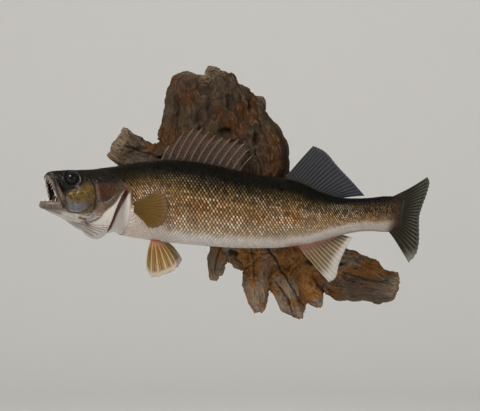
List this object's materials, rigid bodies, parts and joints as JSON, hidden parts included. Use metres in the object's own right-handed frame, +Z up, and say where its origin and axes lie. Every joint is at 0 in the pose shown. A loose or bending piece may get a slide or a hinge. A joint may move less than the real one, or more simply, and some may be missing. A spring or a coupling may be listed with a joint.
{
  "type": "mounted walleye on driftwood",
  "caption": "Life-size mounted walleye swimming left in front of a branching driftwood panel that hangs on a wall, mouth open, fins spread.",
  "frame": {"origin": "on the flat sawn back of the driftwood, in the wall's plane, behind the middle of the fish", "axes": "+X towards the fish's tail, +Y into the wall, +Z up; the fish faces -X and shows its left side to -Y"},
  "size_m": [0.6793, 0.2529, 0.4609],
  "materials": {
    "fish_skin": "varnished fish skin, dark olive back, brassy flank, white belly",
    "fin": "thin lacquered fin membrane with pale rays",
    "eye_glass": "polished dark glass",
    "driftwood": "weathered grey and orange-brown driftwood, unvarnished",
    "hanger_steel": "zinc plated"
  },
  "bodies": {
    "root": {"head": "fish_skin", "lower_jaw": "fish_skin", "tongue": "fish_skin", "gill_cover_left": "fish_skin", "gill_cover_right": "fish_skin", "trunk": "fish_skin", "tail_stem": "fish_skin", "eye_left": "eye_glass", "eye_right": "eye_glass", "dorsal_fin_spiny": "fin", "dorsal_fin_soft": "fin", "anal_fin": "fin", "tail_fin": "fin", "pectoral_fin_left": "fin", "pectoral_fin_right": "fin", "pelvic_fin_left": "fin", "pelvic_fin_right": "fin", "driftwood": "driftwood", "hanger_plate": "hanger_steel", "hanger_screw_top": "hanger_steel", "hanger_screw_bottom": "hanger_steel"}
  },
  "joints": []
}
